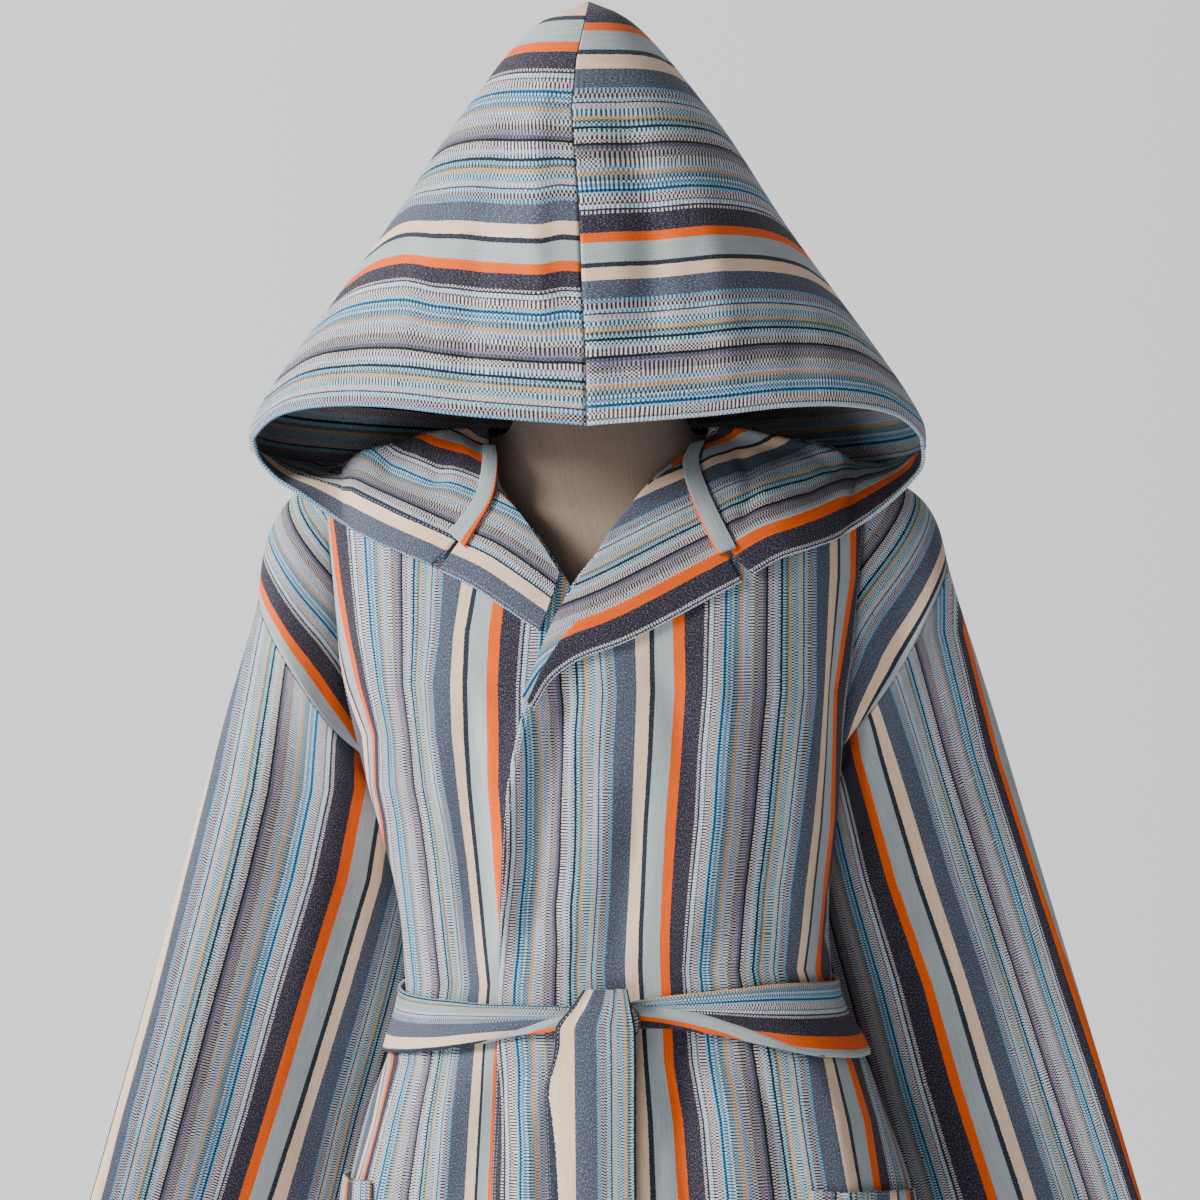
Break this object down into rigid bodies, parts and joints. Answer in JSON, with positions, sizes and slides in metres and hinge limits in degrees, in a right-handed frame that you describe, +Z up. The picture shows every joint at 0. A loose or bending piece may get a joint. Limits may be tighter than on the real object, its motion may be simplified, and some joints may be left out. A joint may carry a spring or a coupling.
{
  "type": "hooded bathrobe on a dress form",
  "caption": "Striped wrap bathrobe with a pointed hood, tied with its own belt over a plain dress form on a round stand.",
  "frame": {"origin": "on the floor, under the middle of the stand's round base", "axes": "+Z up the pole, the robe's front faces -Y, the wearer's left is +X"},
  "size_m": [0.8016, 0.43, 1.7779],
  "materials": {
    "robe_body": "matt striped cotton weave",
    "neck_tape": "matt plain cotton tape",
    "form_cover": "matt stretched jersey",
    "stand_metal": "satin powder coat"
  },
  "bodies": {
    "root": {"front_right": "robe_body", "front_left": "robe_body", "back": "robe_body", "pocket_right": "robe_body", "pocket_left": "robe_body", "shoulder_band_right": "robe_body", "shoulder_band_left": "robe_body", "sleeve_right": "robe_body", "sleeve_left": "robe_body", "hood_right": "robe_body", "hood_left": "robe_body", "lapel_right": "robe_body", "lapel_left": "robe_body", "neck_tape_right": "neck_tape", "neck_tape_left": "neck_tape", "belt_wrap": "robe_body", "belt_knot": "robe_body", "belt_end_top": "robe_body", "belt_end_under": "robe_body", "form_torso": "form_cover", "form_head": "form_cover", "stand_pole": "stand_metal", "stand_base": "stand_metal"}
  },
  "joints": []
}
